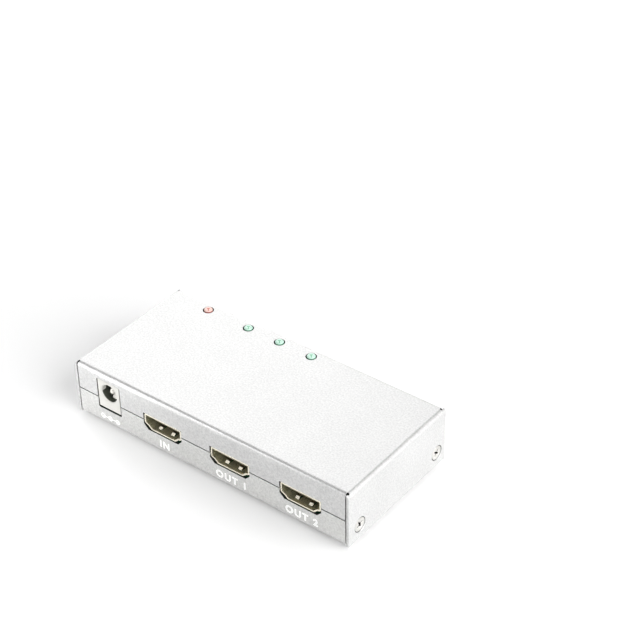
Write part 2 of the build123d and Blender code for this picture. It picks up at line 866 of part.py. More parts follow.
# Crystal in its oval can
with BuildPart() as crystal:
    with BuildSketch(Plane.XY.offset(board_top)):
        with Locations((crystal_x, splitter_y)):
            SlotOverall(crystal_length, crystal_width, rotation=90)
    extrude(amount=crystal_flange)
    with BuildSketch(Plane.XY.offset(board_top)):
        with Locations((crystal_x, splitter_y)):
            SlotOverall(
                crystal_length - 2 * crystal_flange,
                crystal_width - 2 * crystal_flange,
                rotation=90,
            )
    extrude(amount=crystal_height)
crystal.part.label = "crystal"
export_step(crystal.part, "parts/crystal.step")

# Electrolytic capacitor: moulded base and crimped can
with BuildPart() as capacitor_base:
    with BuildSketch(Plane.XY.offset(board_top)) as base_outline:
        with Locations((jack_x, capacitor_y)):
            Rectangle(capacitor_base_size, capacitor_base_size)
        chamfer(base_outline.vertices().group_by(Axis.Y)[-1], capacitor_base_corner)
    extrude(amount=capacitor_base_height)
capacitor_base.part.label = "capacitor_base"
export_step(capacitor_base.part, "parts/capacitor_base.step")

with BuildPart() as capacitor_can:
    can_radius = capacitor_diameter / 2
    can_bottom = board_top + capacitor_base_height
    crimp_level = can_bottom + capacitor_crimp_height
    with BuildSketch(Plane.XZ.offset(-capacitor_y)):
        Polygon(
            (jack_x, can_bottom),
            (jack_x + can_radius, can_bottom),
            (jack_x + can_radius, crimp_level - capacitor_crimp),
            (jack_x + can_radius - capacitor_crimp, crimp_level),
            (jack_x + can_radius, crimp_level + capacitor_crimp),
            (jack_x + can_radius, board_top + capacitor_height - capacitor_crimp),
            (jack_x + can_radius - capacitor_crimp, board_top + capacitor_height),
            (jack_x, board_top + capacitor_height),
            align=None,
        )
    revolve(axis=Axis((jack_x, capacitor_y, 0), (0, 0, 1)))
capacitor_can.part.label = "capacitor_can"
export_step(capacitor_can.part, "parts/capacitor_can.step")

# Chip capacitors behind the splitter chip
with BuildPart() as chip_capacitors:
    with BuildSketch(Plane.XY.offset(board_top)):
        with Locations((splitter_x, capacitor_row)):
            with GridLocations(chip_capacitor_spacing, 0, chip_capacitor_count, 1):
                Rectangle(chip_capacitor_width, chip_capacitor_length)
    extrude(amount=chip_capacitor_height)
chip_capacitors.part.label = "chip_capacitors"
export_step(chip_capacitors.part, "parts/chip_capacitors.step")

# Chip resistors in the sockets' signal lines and one in front of each lamp
with BuildPart() as chip_resistors:
    with BuildSketch(Plane.XY.offset(board_top)):
        with Locations(*[(x, resistor_row) for x in sockets.values()]):
            with GridLocations(chip_resistor_spacing, 0, chip_resistor_count, 1):
                Rectangle(chip_resistor_width, chip_resistor_length)
        with Locations(*[(x, lamp_resistor_row) for x in lamps.values()]):
            Rectangle(chip_resistor_width, chip_resistor_length)
    extrude(amount=chip_resistor_height)
chip_resistors.part.label = "chip_resistors"
export_step(chip_resistors.part, "parts/chip_resistors.step")
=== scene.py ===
# %% [markdown]
# HDMI splitter in a sheet metal case.
#
# A low box of folded sheet, painted pale grey, stands on four rubber feet. A power jack and three
# sockets look out of the front, four lamps sit in the top and two countersunk screws hold each
# side. The imported CAD model gives every place and size. This script adds what the solids leave
# out: paint, plating and moulded surfaces, driven screw heads, lamps with their lead frames,
# printed marks, and the light of a small studio.

# %% Load the imported model
import math
import bmesh
import bpy
from mathutils import Matrix, Vector


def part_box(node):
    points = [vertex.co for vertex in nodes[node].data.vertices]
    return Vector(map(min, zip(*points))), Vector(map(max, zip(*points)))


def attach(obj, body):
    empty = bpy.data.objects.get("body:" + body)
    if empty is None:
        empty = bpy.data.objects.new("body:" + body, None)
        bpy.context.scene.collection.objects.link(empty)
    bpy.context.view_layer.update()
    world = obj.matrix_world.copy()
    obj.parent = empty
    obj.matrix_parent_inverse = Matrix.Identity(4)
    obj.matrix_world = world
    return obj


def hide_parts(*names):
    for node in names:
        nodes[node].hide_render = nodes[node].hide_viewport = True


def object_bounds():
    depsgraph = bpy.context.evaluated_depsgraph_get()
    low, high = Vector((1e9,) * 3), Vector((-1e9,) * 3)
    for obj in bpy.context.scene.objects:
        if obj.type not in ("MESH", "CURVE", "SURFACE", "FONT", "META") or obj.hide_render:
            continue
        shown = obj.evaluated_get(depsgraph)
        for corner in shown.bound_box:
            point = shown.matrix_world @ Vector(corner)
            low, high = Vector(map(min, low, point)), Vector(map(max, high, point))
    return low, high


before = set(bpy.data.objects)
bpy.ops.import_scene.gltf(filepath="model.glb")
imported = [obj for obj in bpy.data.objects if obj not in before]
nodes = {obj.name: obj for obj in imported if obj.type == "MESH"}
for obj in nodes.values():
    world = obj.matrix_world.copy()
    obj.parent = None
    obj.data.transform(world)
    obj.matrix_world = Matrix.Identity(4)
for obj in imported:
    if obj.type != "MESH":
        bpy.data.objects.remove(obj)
cad_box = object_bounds()
scene = bpy.context.scene
mm = 0.001
print("nodes:", len(nodes))
print("box in mm:", [round((b - a) / mm, 2) for a, b in zip(*cad_box)])

# %% [markdown]
# The camera comes first, because every later choice is judged through it. The edges of a box
# with square corners fix the lens and the place of a camera. Those here were solved from the
# straight edges of the case, with the sockets' known width as the scale. The aim is a
# direction, and a small roll about it tilts the picture as the photograph is tilted.

# %% Camera
picture_width = 640
focal_length_in_pixels = 1700
camera_place = Vector((270.07, -316.82, 347.72)) * mm
camera_aim = Vector((-0.49464, 0.64023, -0.58774))
camera_roll = math.radians(-0.78)

camera_data = bpy.data.cameras.new("studio_camera")
camera_data.sensor_width = 36.0
camera_data.lens = focal_length_in_pixels / picture_width * camera_data.sensor_width
camera_data.clip_start = 0.01
camera = bpy.data.objects.new("studio_camera", camera_data)
scene.collection.objects.link(camera)
camera.rotation_mode = "QUATERNION"
camera.rotation_quaternion = (
    camera_aim.to_track_quat("-Z", "Y").to_matrix() @ Matrix.Rotation(camera_roll, 3, "Z")
).to_quaternion()
camera.location = camera_place
scene.camera = camera
print("lens in mm:", round(camera_data.lens, 2))

# %% [markdown]
# A painted or plated surface is never one flat colour, so every finish here is a small network
# of nodes. Written node by node such networks are long and hard to read. One class wraps a
# socket and lets Python's own operators add the Math nodes, so a formula reads as a formula.

# %% A socket that takes part in arithmetic
class Value:
    """The output of a node, usable in Python expressions."""

    def __init__(self, tree, socket):
        self.tree = tree
        self.socket = socket

    def maths(self, operation, *terms):
        """One Math node. Its terms are values or plain numbers."""
        node = self.tree.nodes.new("ShaderNodeMath")
        node.operation = operation
        for place, term in zip(node.inputs, terms):
            if isinstance(term, Value):
                self.tree.links.new(term.socket, place)
            else:
                place.default_value = term
        return Value(self.tree, node.outputs[0])

    def __add__(self, other):
        return self.maths("ADD", self, other)

    def __radd__(self, other):
        return self.maths("ADD", other, self)

    def __sub__(self, other):
        return self.maths("SUBTRACT", self, other)

    def __rsub__(self, other):
        return self.maths("SUBTRACT", other, self)

    def __mul__(self, other):
        return self.maths("MULTIPLY", self, other)

    def __rmul__(self, other):
        return self.maths("MULTIPLY", other, self)

    def __truediv__(self, other):
        return self.maths("DIVIDE", self, other)

    def __rtruediv__(self, other):
        return self.maths("DIVIDE", other, self)

    def __gt__(self, other):
        return self.maths("GREATER_THAN", self, other)

    def __lt__(self, other):
        return self.maths("LESS_THAN", self, other)

    def __abs__(self):
        return self.maths("ABSOLUTE", self)


# %% [markdown]
# Colours are picked from a screen, where 0 to 255 isn't linear in light. The renderer works in
# linear light, so each picked colour goes through the standard curve once, here. The two
# branches are the curve's straight foot and its power part.

# %% Colours as a picker shows them
def picked(red, green, blue):
    """A linear colour with full alpha from the 0 to 255 numbers of a colour picker."""
    shares = [level / 255 for level in (red, green, blue)]
    return (*[s / 12.92 if s <= 0.04045 else ((s + 0.055) / 1.055) ** 2.4 for s in shares], 1.0)


print("paint in linear light:", [round(c, 3) for c in picked(230, 230, 227)])


# %% [markdown]
# A finish starts as one Principled shader with fixed values on its own sockets. What varies
# over the surface is added after that: a colour, a roughness or a bump. Object coordinates are
# in metres here, so a noise scale of 1 / size gives features of about that size.

# %% A finish
class Finish:
    """A material, and short ways to add what varies over its surface."""

    def __init__(self, name, colour, roughness, metallic=0.0, **fixed):
        self.material = bpy.data.materials.new(name)
        self.material.use_nodes = True
        self.tree = self.material.node_tree
        self.shader = self.tree.nodes["Principled BSDF"]
        self.set("Base Color", colour)
        self.set("Roughness", roughness)
        self.set("Metallic", metallic)
        for socket, value in fixed.items():
            self.set(socket.replace("_", " "), value)
        self.places = self.node("ShaderNodeTexCoord", output="Object")

    def join(self, value, socket):
        """Links a value to a socket, or writes a constant on it."""
        if isinstance(value, Value):
            self.tree.links.new(value.socket, socket)
        else:
            socket.default_value = value

    def set(self, socket, value):
        """Gives one of the shader's own sockets its value."""
        self.join(value, self.shader.inputs[socket])

    def node(self, kind, settings=None, sockets=None, output=0):
        """Any other node: its settings first, then the values or links of its sockets."""
        made = self.tree.nodes.new(kind)
        for name, value in (settings or {}).items():
            setattr(made, name, value)
        for name, value in (sockets or {}).items():
            self.join(value, made.inputs[name])
        return Value(self.tree, made.outputs[output])

    def noise(self, size, detail=2.0, stretch=(1, 1, 1)):
        """Cloudy noise from 0 to 1 with features of the given size in metres."""
        spread = self.node(
            "ShaderNodeMapping",
            sockets={"Vector": self.places, "Scale": [s / size for s in stretch]},
        )
        return self.node(
            "ShaderNodeTexNoise",
            sockets={"Vector": spread, "Scale": 1.0, "Detail": detail},
        )

    def axis(self, letter):
        """One object coordinate, in metres."""
        return self.node("ShaderNodeSeparateXYZ", sockets={"Vector": self.places}, output=letter)

    def blend(self, mask, first, second):
        """first where the mask is 0, second where it is 1."""
        return self.node(
            "ShaderNodeMix", {"data_type": "RGBA"}, {0: mask, 6: first, 7: second}, output=2
        )

    def relief(self, height, distance, strength, edge):
        """A bump of the given height in metres. edge rounds sharp edges by that radius."""
        rounded = self.node("ShaderNodeBevel", {"samples": 6}, {"Radius": edge})
        sockets = {"Height": height, "Distance": distance, "Strength": strength}
        sockets["Normal"] = rounded
        self.set("Normal", self.node("ShaderNodeBump", sockets=sockets))

    def colour_so_far(self):
        """The colour that feeds the shader now, to be blended with one more."""
        return Value(self.tree, self.shader.inputs["Base Color"].links[0].from_socket)


# %% [markdown]
# The case is painted pale on its outside. Inside and on its cut edges the sheet gets a dark
# colour, painted shade: through the seam and the slots at the corners the eye meets a dark inside,
# which draws them as dark lines. Two materials on one mesh would need faces cut along the edge of
# the paint. A mask does it without: the outside of each folded piece is a box with round edges,
# and a point's depth below such a box tells paint from painted shade.

# %% Depth below a box with round edges
def deeper_than(finish, low, high, bend, skin):
    """1 where a point lies deeper than skin below the rounded box, else 0."""
    squares = 0.0
    for letter, start, end in zip("XYZ", low, high):
        from_middle = abs(finish.axis(letter) - (start + end) / 2)
        beyond = from_middle - ((end - start) / 2 - bend)
        beyond = beyond.maths("MAXIMUM", beyond, 0.0)
        squares = squares + beyond * beyond
    return squares.maths("SQRT", squares) < bend - skin


# %% [markdown]
# The paint is a silver powder coat under a clear layer, so it is part metallic: pale where it
# mirrors the bright studio, grey where it mirrors the dim one. The powder melts into low dimples
# about half a millimetre across, which scatter the light and leave it mottled. A fine noise gives
# the dimples as a bump and a mottled tone that is darker in their hollows, partly painted shade,
# and a broad one gives the faint clouds of spraying.

# %% Powder coat
outer_bend = 1.6 * mm
coat_thickness = 0.12 * mm
dimple_size, cloud_size = 0.55 * mm, 14 * mm


def powder_coat(name, node, low_shade, high_shade):
    """Paint on the outside of a folded piece, painted shade on its inside and its cut edges."""
    middle_shade = picked(206, 206, 205)
    paint = Finish(name, middle_shade, 0.3, metallic=0.42, Coat_Weight=0.4, Coat_Roughness=0.18)
    dimples = paint.noise(dimple_size, detail=3.0)
    clouds = paint.noise(cloud_size, detail=3.0)
    mottle = dimples * 1.7 + clouds * 0.3 - 0.5
    # The tone is darker where the dimples are low: partly random mottle, partly painted shade.
    coat = paint.blend(mottle, low_shade, high_shade)
    # The dark colour of the inside and of the cut edges is painted shade.
    painted_shade_inside = paint.blend(clouds, picked(50, 50, 51), picked(66, 66, 66))
    low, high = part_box(node)
    inside = deeper_than(paint, low, high, outer_bend, coat_thickness)
    paint.set("Base Color", paint.blend(inside, coat, painted_shade_inside))
    paint.set("Roughness", 0.26 + dimples * 0.12 + clouds * 0.04)
    paint.relief(dimples, 0.03 * mm, strength=0.9, edge=0.1 * mm)
    return paint


# The tray's paint is a little lighter than the cover's: painted light that makes the lower front
# brighter than the upper.
cover_paint = powder_coat(
    "cover_paint", "top_cover", picked(188, 188, 188), picked(224, 224, 223)
)
tray_paint = powder_coat(
    "tray_paint", "bottom_tray", picked(195, 195, 193), picked(231, 231, 229)
)
print("dimples in mm:", round(dimple_size / mm, 2), "clouds in mm:", round(cloud_size / mm, 1))

# %% [markdown]
# The white print on the front is a thin layer of silk screen ink, smoother than the paint. It is
# the whitest thing on the case. A white colour alone would turn as grey as the front that it lies
# on, so the ink also glows a little: painted light.

# %% Printing ink
print_ink = Finish("print_ink", picked(250, 250, 248), 0.4)
ink_spots = print_ink.noise(0.3 * mm)
thin_ink, full_ink = picked(243, 243, 241), picked(253, 253, 252)
print_ink.set("Base Color", print_ink.blend(ink_spots, thin_ink, full_ink))
print_ink.set("Roughness", 0.35 + ink_spots * 0.15)
# The glow is painted light; the ink is no lamp.
print_ink.set("Emission Color", (1, 1, 1, 1))
print_ink.set("Emission Strength", 0.25)
print("ink:", print_ink.material.name)

# %% [markdown]
# Metals get their look from the reflections, so their colour hardly varies but their roughness
# does. Sockets are stamped from plated strip, which leaves faint lines along the strip. Leads
# and terminals are tinned, and screws are nickel plated over a turned surface. An anisotropic
# shader could draw the lines, but it needs a direction on every face, and noise stretched along
# one axis looks the same at this size. The jack's pin stands in a deep bore with little to
# mirror, so its plate is mostly plain pale colour.

# %% Plated metals
def plated(name, colour, dark, roughness, line, stretch=(1, 1, 1), edge=0.05 * mm):
    """Bright metal with rubbing lines of the given width along one axis."""
    metal = Finish(name, colour, roughness, metallic=1.0)
    lines = metal.noise(line, detail=3.0, stretch=stretch)
    stains = metal.noise(2.5 * mm, detail=2.0)
    metal.set("Base Color", metal.blend(stains * 0.6, colour, dark))
    metal.set("Roughness", roughness - 0.06 + lines * 0.12 + stains * 0.05)
    metal.relief(lines, 0.004 * mm, strength=0.4, edge=edge)
    return metal


shell_plate = plated(
    "shell_plate", picked(253, 249, 234), picked(238, 228, 198), 0.26, 0.12 * mm, (1, 0.08, 1)
)
contact_gold = plated("contact_gold", picked(240, 205, 130), picked(205, 160, 85), 0.25, 0.1 * mm)
tinned = plated("tinned", picked(224, 221, 212), picked(186, 183, 174), 0.3, 0.15 * mm)
pin_plate = plated("pin_plate", picked(252, 250, 243), picked(240, 236, 226), 0.4, 0.15 * mm)
pin_plate.set("Metallic", 0.3)
screw_nickel = plated("screw_nickel", picked(236, 235, 231), picked(206, 204, 199), 0.3, 0.1 * mm)
zinc = plated("zinc", picked(205, 206, 205), picked(170, 172, 173), 0.38, 0.3 * mm)
can_metal = plated(
    "can_metal", picked(214, 214, 212), picked(182, 182, 180), 0.33, 0.2 * mm, (1, 1, 0.1)
)
plated_metals = (shell_plate, contact_gold, tinned, pin_plate, screw_nickel, zinc, can_metal)
print("plated metals:", [metal.material.name for metal in plated_metals])

# %% [markdown]
# A socket's shell is bright at its lip and on its spring fingers, which are rubbed clean by
# every plug. The rest of its inside is dull, and gets its light from all round. The places of
# the fingers come from the shells' own boxes, which repeat at one pitch.

# %% Dull inside of the sockets
finger_from_middle, half_finger, finger_rise = 2.55 * mm, 0.75 * mm, 1.3 * mm
finger_start, finger_end = 1.2 * mm, 7 * mm
bright_lip = 0.5 * mm
seat_of_shell = 0.15 * mm
first_low, first_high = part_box("hdmi_input_shell")
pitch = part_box("hdmi_output_1_shell")[0].x - first_low.x
along = shell_plate.axis("X") - ((first_low.x + first_high.x) / 2 - pitch / 2)
from_middle = abs(along.maths("MODULO", along, pitch) - pitch / 2)
depth = shell_plate.axis("Y") - first_low.y
shell_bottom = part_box("circuit_board")[1].z + seat_of_shell
fingers = abs(from_middle - finger_from_middle) < half_finger
fingers = fingers * (depth > finger_start) * (depth < finger_end)
fingers = fingers * (shell_plate.axis("Z") < shell_bottom + finger_rise)
dull_inside = (depth > bright_lip) * (1 - fingers)
dull_plate = shell_plate.blend(dull_inside, shell_plate.colour_so_far(), picked(176, 172, 144))
shell_plate.set("Base Color", dull_plate)
shell_plate.set("Metallic", 1 - dull_inside * 0.45)
print("pitch of the sockets in mm:", round(pitch / mm, 2))


# %% [markdown]
# Moulded parts show a fine grain from the eroded mould, small flow marks and slightly rounded
# edges. The CAD model's edges are sharp, and cutting every one of them round would cost many
# faces, so the finish rounds the light on them instead. The same recipe serves the jack, the
# sockets' insulators, the chips, the coil and the feet, with their own colours and grain.

# %% Moulded plastics
def moulded(name, colour, dark, roughness, grain, edge=0.1 * mm):
    """Plastic with a mould grain of the given size."""
    plastic = Finish(name, colour, roughness, Specular_IOR_Level=0.5)
    pits = plastic.noise(grain, detail=2.0)
    flow = plastic.noise(4 * mm, detail=2.0)
    plastic.set("Base Color", plastic.blend(pits * 0.5 + flow * 0.5, dark, colour))
    plastic.set("Roughness", roughness + pits * 0.1 + flow * 0.06)
    plastic.relief(pits, 0.012 * mm, strength=0.45, edge=edge)
    return plastic


jack_plastic = moulded(
    "jack_plastic", picked(228, 227, 222), picked(215, 214, 208), 0.42, 0.25 * mm
)
socket_plastic = moulded(
    "socket_plastic", picked(124, 118, 96), picked(96, 90, 72), 0.45, 0.2 * mm
)
chip_plastic = moulded(
    "chip_plastic", picked(44, 44, 46), picked(32, 32, 34), 0.6, 0.12 * mm, edge=0.05 * mm
)
ferrite = moulded("ferrite", picked(72, 72, 74), picked(50, 50, 53), 0.7, 0.2 * mm)
foot_rubber = moulded("foot_rubber", picked(46, 46, 47), picked(33, 33, 34), 0.75, 0.3 * mm)
plastics = (jack_plastic, socket_plastic, chip_plastic, ferrite, foot_rubber)
print("moulded plastics:", [plastic.material.name for plastic in plastics])

# %% [markdown]
# Little light reaches the jack's bore and the narrow gaps round its face, and the plastic in there
# gets a dark colour, painted shade. Only the face and the first two millimetres of the bore keep
# the pale colour. The depth behind the face tells one from the other, and inside the bore's circle
# the limit lies deeper.

# %% Painted shade behind the jack's face
pin_radius, bore_radius = 1.0 * mm, 3.3 * mm
bright_face, bright_in_bore = 0.4 * mm, 1.6 * mm
jack_low, jack_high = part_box("dc_jack_housing")
jack_x = (jack_low.x + jack_high.x) / 2
bore_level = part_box("dc_jack_pin")[1].z - pin_radius
beside = jack_plastic.axis("X") - jack_x
above = jack_plastic.axis("Z") - bore_level
in_bore = (beside * beside + above * above) < bore_radius**2
behind_face = jack_plastic.axis("Y") - jack_low.y
# Deeper than these limits the plastic is painted shade.
painted_shade_behind_face = behind_face > bright_face + in_bore * bright_in_bore
bore_with_painted_shade = jack_plastic.blend(painted_shade_behind_face, jack_plastic.colour_so_far(), picked(78, 82, 72))
jack_plastic.set("Base Color", bore_with_painted_shade)
print("jack's bore at x and z in mm:", round(jack_x / mm, 2), round(bore_level / mm, 2))

# %% [markdown]
# The circuit board is green solder mask over copper. Tracks stand a little proud under the
# mask and look lighter, with a fill of copper between them. Waves bent by noise stand for the
# bundles of tracks, and the mask's gloss comes from a clear coat on the shader's own socket.

# %% Solder mask
board_mask = Finish("board_mask", picked(24, 104, 62), 0.35, Coat_Weight=0.4, Coat_Roughness=0.15)
track_pitch = 1.27 * mm
bend_of_tracks = board_mask.noise(9 * mm, detail=1.0)
turns = board_mask.axis("X") * (1 / track_pitch) + bend_of_tracks * 3.0
from_track = abs(turns.maths("FRACT", turns) - 0.5)
bundles = board_mask.noise(12 * mm, detail=0.0) > 0.5
tracks = (from_track < 0.2) * bundles
board_mask.set("Base Color", board_mask.blend(tracks, picked(16, 84, 48), picked(44, 132, 80)))
board_mask.relief(tracks, 0.03 * mm, strength=0.5, edge=0.1 * mm)
print("tracks apart in mm:", round(track_pitch / mm, 2))

# %% [markdown]
# Chip resistors and capacitors are ceramic blocks with a tinned cap at each end. Both stand in
# rows that run left to right, with their ends towards the front and the back. So the distance
# from the row's middle line tells cap from body, and one mask paints both.

# %% Capped ceramics
def capped(name, row_lines, half_body, colour, dark):
    """Ceramic between tinned ends. row_lines are the middle lines of the rows, in metres."""
    block = Finish(name, colour, 0.5)
    along = block.axis("Y")
    inside = None
    for line in row_lines:
        near = abs(along - line) < half_body
        inside = near if inside is None else inside.maths("MAXIMUM", inside, near)
    speckle = block.noise(0.2 * mm)
    body = block.blend(speckle, dark, colour)
    block.set("Base Color", block.blend(inside, picked(214, 211, 202), body))
    block.set("Metallic", 1 - inside)
    block.set("Roughness", 0.32 + inside * 0.18 + speckle * 0.08)
    block.relief(speckle, 0.01 * mm, strength=0.4, edge=0.06 * mm)
    return block


def row_lines_of(node, length):
    """The middle lines of a node's rows, given the length of its blocks from front to back."""
    low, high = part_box(node)
    return [low.y + length / 2, high.y - length / 2]


resistor_length, capacitor_length = 1.6 * mm, 2.0 * mm
resistor_rows = row_lines_of("chip_resistors", resistor_length)
capacitor_rows = row_lines_of("chip_capacitors", capacitor_length)
resistor_finish = capped(
    "resistor_film", resistor_rows, 0.5 * mm, picked(38, 38, 42), picked(26, 26, 29)
)
capacitor_finish = capped(
    "capacitor_ceramic", capacitor_rows, 0.6 * mm, picked(176, 142, 98), picked(150, 118, 78)
)
print("resistor rows at y in mm:", [round(line / mm, 2) for line in resistor_rows])

# %% [markdown]
# The lamps are cast from milky tinted epoxy, which spreads the light: a lens looks pale all over,
# as if it glowed a little, and darker where it stands in its hole. Real scattering inside the
# epoxy would be slow and noisy. A little transmission and a faint glow in the tint's own colour,
# which is painted light, give the same look, and a darker tint below the top of the dome is
# painted shade for the hole. Through the pale dome the lead frame shows as a small T, a wide head
# on a narrow post. A mask in a darker tint draws it as painted shade, turned as the frame is seen.

# %% Epoxy lenses
dome_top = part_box("led_power_lens")[1].z
dome_depth = 0.36 * mm
frame_turn = math.radians(38)
half_head, head_centre, half_head_depth = 0.5 * mm, 0.2 * mm, 0.2 * mm
half_post, post_centre, half_post_length = 0.17 * mm, -0.4 * mm, 0.75 * mm


def epoxy(lamp, colour, deep, rim_painted_shade, frame_painted_shade):
    """Tinted lens material for one lamp."""
    low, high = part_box(f"{lamp}_lens")
    lens = Finish(
        f"{lamp}_epoxy", colour, 0.08, Transmission_Weight=0.3, IOR=1.45, Coat_Weight=0.2
    )
    haze = lens.noise(1.2 * mm, detail=1.0)
    tint = lens.blend(haze, deep, colour)
    right = lens.axis("X") - (low.x + high.x) / 2
    back = lens.axis("Y") - (low.y + high.y) / 2
    across = right * math.cos(frame_turn) + back * math.sin(frame_turn)
    along = back * math.cos(frame_turn) - right * math.sin(frame_turn)
    head = (abs(across) < half_head) * (abs(along - head_centre) < half_head_depth)
    post = (abs(across) < half_post) * (abs(along - post_centre) < half_post_length)
    # The T of the lead frame is painted shade.
    tint = lens.blend(head.maths("MAXIMUM", head, post), tint, frame_painted_shade)
    # Below the top of the dome the lens is painted shade and has no glow; above it the faint glow
    # is painted light.
    rim = lens.axis("Z") < dome_top - dome_depth
    lens.set("Base Color", lens.blend(rim, tint, rim_painted_shade))
    lens.set("Emission Color", lens.blend(rim, tint, (0, 0, 0, 1)))
    lens.set("Emission Strength", 0.17)
    return lens


lamps = ("led_power", "led_input", "led_output_1", "led_output_2")
# Each tint is pale, deep, the painted shade of the rim and the painted shade of the lead frame.
green = (picked(222, 252, 238), picked(206, 248, 228), picked(96, 158, 124), picked(126, 196, 158))
red = (picked(255, 226, 218), picked(255, 208, 194), picked(186, 96, 80), picked(206, 108, 92))
lens_finish = {lamp: epoxy(lamp, *green) for lamp in lamps[1:]}
lens_finish["led_power"] = epoxy("led_power", *red)
print("lens finishes:", [lens.material.name for lens in lens_finish.values()])

# %% [markdown]
# A CAD node keeps its mesh and only gets a finish. One table says which finish each takes, so
# a node that was forgotten stops the script by its name. The sockets and the lamps repeat, and
# two loops add their rows.

# %% Dress the CAD nodes
ports = ("hdmi_input", "hdmi_output_1", "hdmi_output_2")
dress = {
    "top_cover": cover_paint,
    "bottom_tray": tray_paint,
    "side_screws": screw_nickel,
    "rubber_feet": foot_rubber,
    "standoffs": zinc,
    "board_screws": zinc,
    "circuit_board": board_mask,
    "dc_jack_housing": jack_plastic,
    "dc_jack_pin": pin_plate,
    "dc_jack_spring": pin_plate,
    "dc_jack_switch": tinned,
    "splitter_chip": chip_plastic,
    "splitter_chip_leads": tinned,
    "memory_chips": chip_plastic,
    "memory_chip_leads": tinned,
    "regulator": chip_plastic,
    "regulator_leads": tinned,
    "inductor": ferrite,
    "crystal": can_metal,
    "capacitor_base": chip_plastic,
    "capacitor_can": can_metal,
    "chip_capacitors": capacitor_finish,
    "chip_resistors": resistor_finish,
}
for port in ports:
    dress[f"{port}_shell"] = shell_plate
    dress[f"{port}_insulator"] = socket_plastic
    dress[f"{port}_contacts"] = contact_gold
for lamp in lamps:
    dress[f"{lamp}_lens"] = lens_finish[lamp]
    dress[f"{lamp}_legs"] = tinned
for name, node in nodes.items():
    node.data.materials.clear()
    node.data.materials.append(dress[name].material)
print("dressed:", len(dress))


# %% [markdown]
# New pieces are built as bmeshes and all end the same way: doubles merged, faces turned
# outwards, edges sharper than 35 degrees kept sharp, and the mesh handed to the one body of
# this part, which has no moving pieces.

# %% Put a new piece in the scene
merge_distance = 0.0005 * mm
sharp_angle = math.radians(35)


def show(name, mesh_in_hand, finish, replaced=(), recalculate=True):
    """Makes an object of a bmesh, at the origin, and lets it stand for CAD nodes."""
    bmesh.ops.remove_doubles(mesh_in_hand, verts=mesh_in_hand.verts, dist=merge_distance)
    if recalculate:
        bmesh.ops.recalc_face_normals(mesh_in_hand, faces=mesh_in_hand.faces)
    for face in mesh_in_hand.faces:
        face.smooth = True
    for edge in mesh_in_hand.edges:
        edge.smooth = edge.calc_face_angle(0.0) < sharp_angle
    mesh = bpy.data.meshes.new(name)
    mesh_in_hand.to_mesh(mesh)
    mesh_in_hand.free()
    mesh.materials.append(finish.material)
    piece = bpy.data.objects.new(name, mesh)
    scene.collection.objects.link(piece)
    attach(piece, "root")
    if replaced:
        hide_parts(*replaced)
    print(name, "has", len(mesh.polygons), "faces")
    return piece


# %% [markdown]
# Turned parts such as a screw, a foot or a lens are one outline spun about an axis. The outline
# is a few points, its corners are rounded by a bevel on the vertices, and the spin does the rest.

# %% Spin an outline
def turned(outline, rounds=(), steps=40):
    """A closed body of revolution about Z. rounds are (point number, radius, segments)."""
    body = bmesh.new()
    points = [body.verts.new((radius, 0, height)) for radius, height in outline]
    for start, end in zip(points, points[1:]):
        body.edges.new((start, end))
    for number, radius, segments in rounds:
        bmesh.ops.bevel(
            body,
            geom=[points[number]],
            offset=radius,
            segments=segments,
            profile=0.5,
            affect="VERTICES",
            material=-1,
        )
    bmesh.ops.spin(
        body,
        geom=body.verts[:] + body.edges[:],
        axis=(0, 0, 1),
        cent=(0, 0, 0),
        angle=2 * math.pi,
        steps=steps,
        use_merge=True,
    )
    bmesh.ops.remove_doubles(body, verts=body.verts, dist=merge_distance)
    return body


def copy_into(target, source, place):
    """Adds a copy of the bmesh source to target, moved by the matrix place."""
    scratch = bpy.data.meshes.new("scratch")
    source.to_mesh(scratch)
    scratch.transform(place)
    target.from_mesh(scratch)
    bpy.data.meshes.remove(scratch)


# %% [markdown]
# The side screws are countersunk, with a cross recess. Seen at this size the recess is what
# makes a screw a screw: a dark cross with bright edges. Two crossed bars could be cut out of
# the head with a Boolean, but that leaves long thin faces that catch the light. So the cross
# starts as one square whose four edges are pushed out to arms. Pushing the cross down and
# drawing it in gives the tapered recess.

# %% Cross recess
arm_half_width = 0.34 * mm
arm_reach = 1.45 * mm
arm_taper = 0.8
recess_depth = 1.15 * mm
recess_taper = 0.5


def verts_in(geometry):
    """The vertices among what an extrusion made."""
    return [part for part in geometry if isinstance(part, bmesh.types.BMVert)]


def cut_cross(screw):
    """A cross with tapered walls, open at z = 0."""
    bmesh.ops.create_grid(screw, x_segments=1, y_segments=1, size=arm_half_width)
    for edge in screw.edges[:]:
        outwards = (edge.verts[0].co + edge.verts[1].co).normalized()
        ends = verts_in(bmesh.ops.extrude_edge_only(screw, edges=[edge])["geom"])
        bmesh.ops.translate(screw, verts=ends, vec=outwards * (arm_reach - arm_half_width))
        narrowed = [arm_taper if abs(c) < 0.5 else 1.0 for c in outwards]
        bmesh.ops.scale(screw, verts=ends, vec=narrowed)
    cross = screw.faces[:]
    bottom = verts_in(bmesh.ops.extrude_face_region(screw, geom=cross)["geom"])
    bmesh.ops.translate(screw, verts=bottom, vec=(0, 0, -recess_depth))
    bmesh.ops.scale(screw, verts=bottom, vec=(recess_taper, recess_taper, 1))
    bmesh.ops.delete(screw, geom=[f for f in cross if f.is_valid], context="FACES_ONLY")


# %% [markdown]
# A fill between the cross and a circle closes the face of the head. From the circle the side of
# the head and the thread's plain core grow downwards, ring by ring, each ring drawn in or left
# as wide as the last. Spinning an outline would be shorter, but a spun head has no edge for the
# cross to join.

# %% Head and shank
head_radius, rim_height, head_height = 2.38 * mm, 0.12 * mm, 1.35 * mm
thread_radius, screw_length = 1.5 * mm, 4.0 * mm
soft_edge = 0.06 * mm
head_sunk = 0.12 * mm


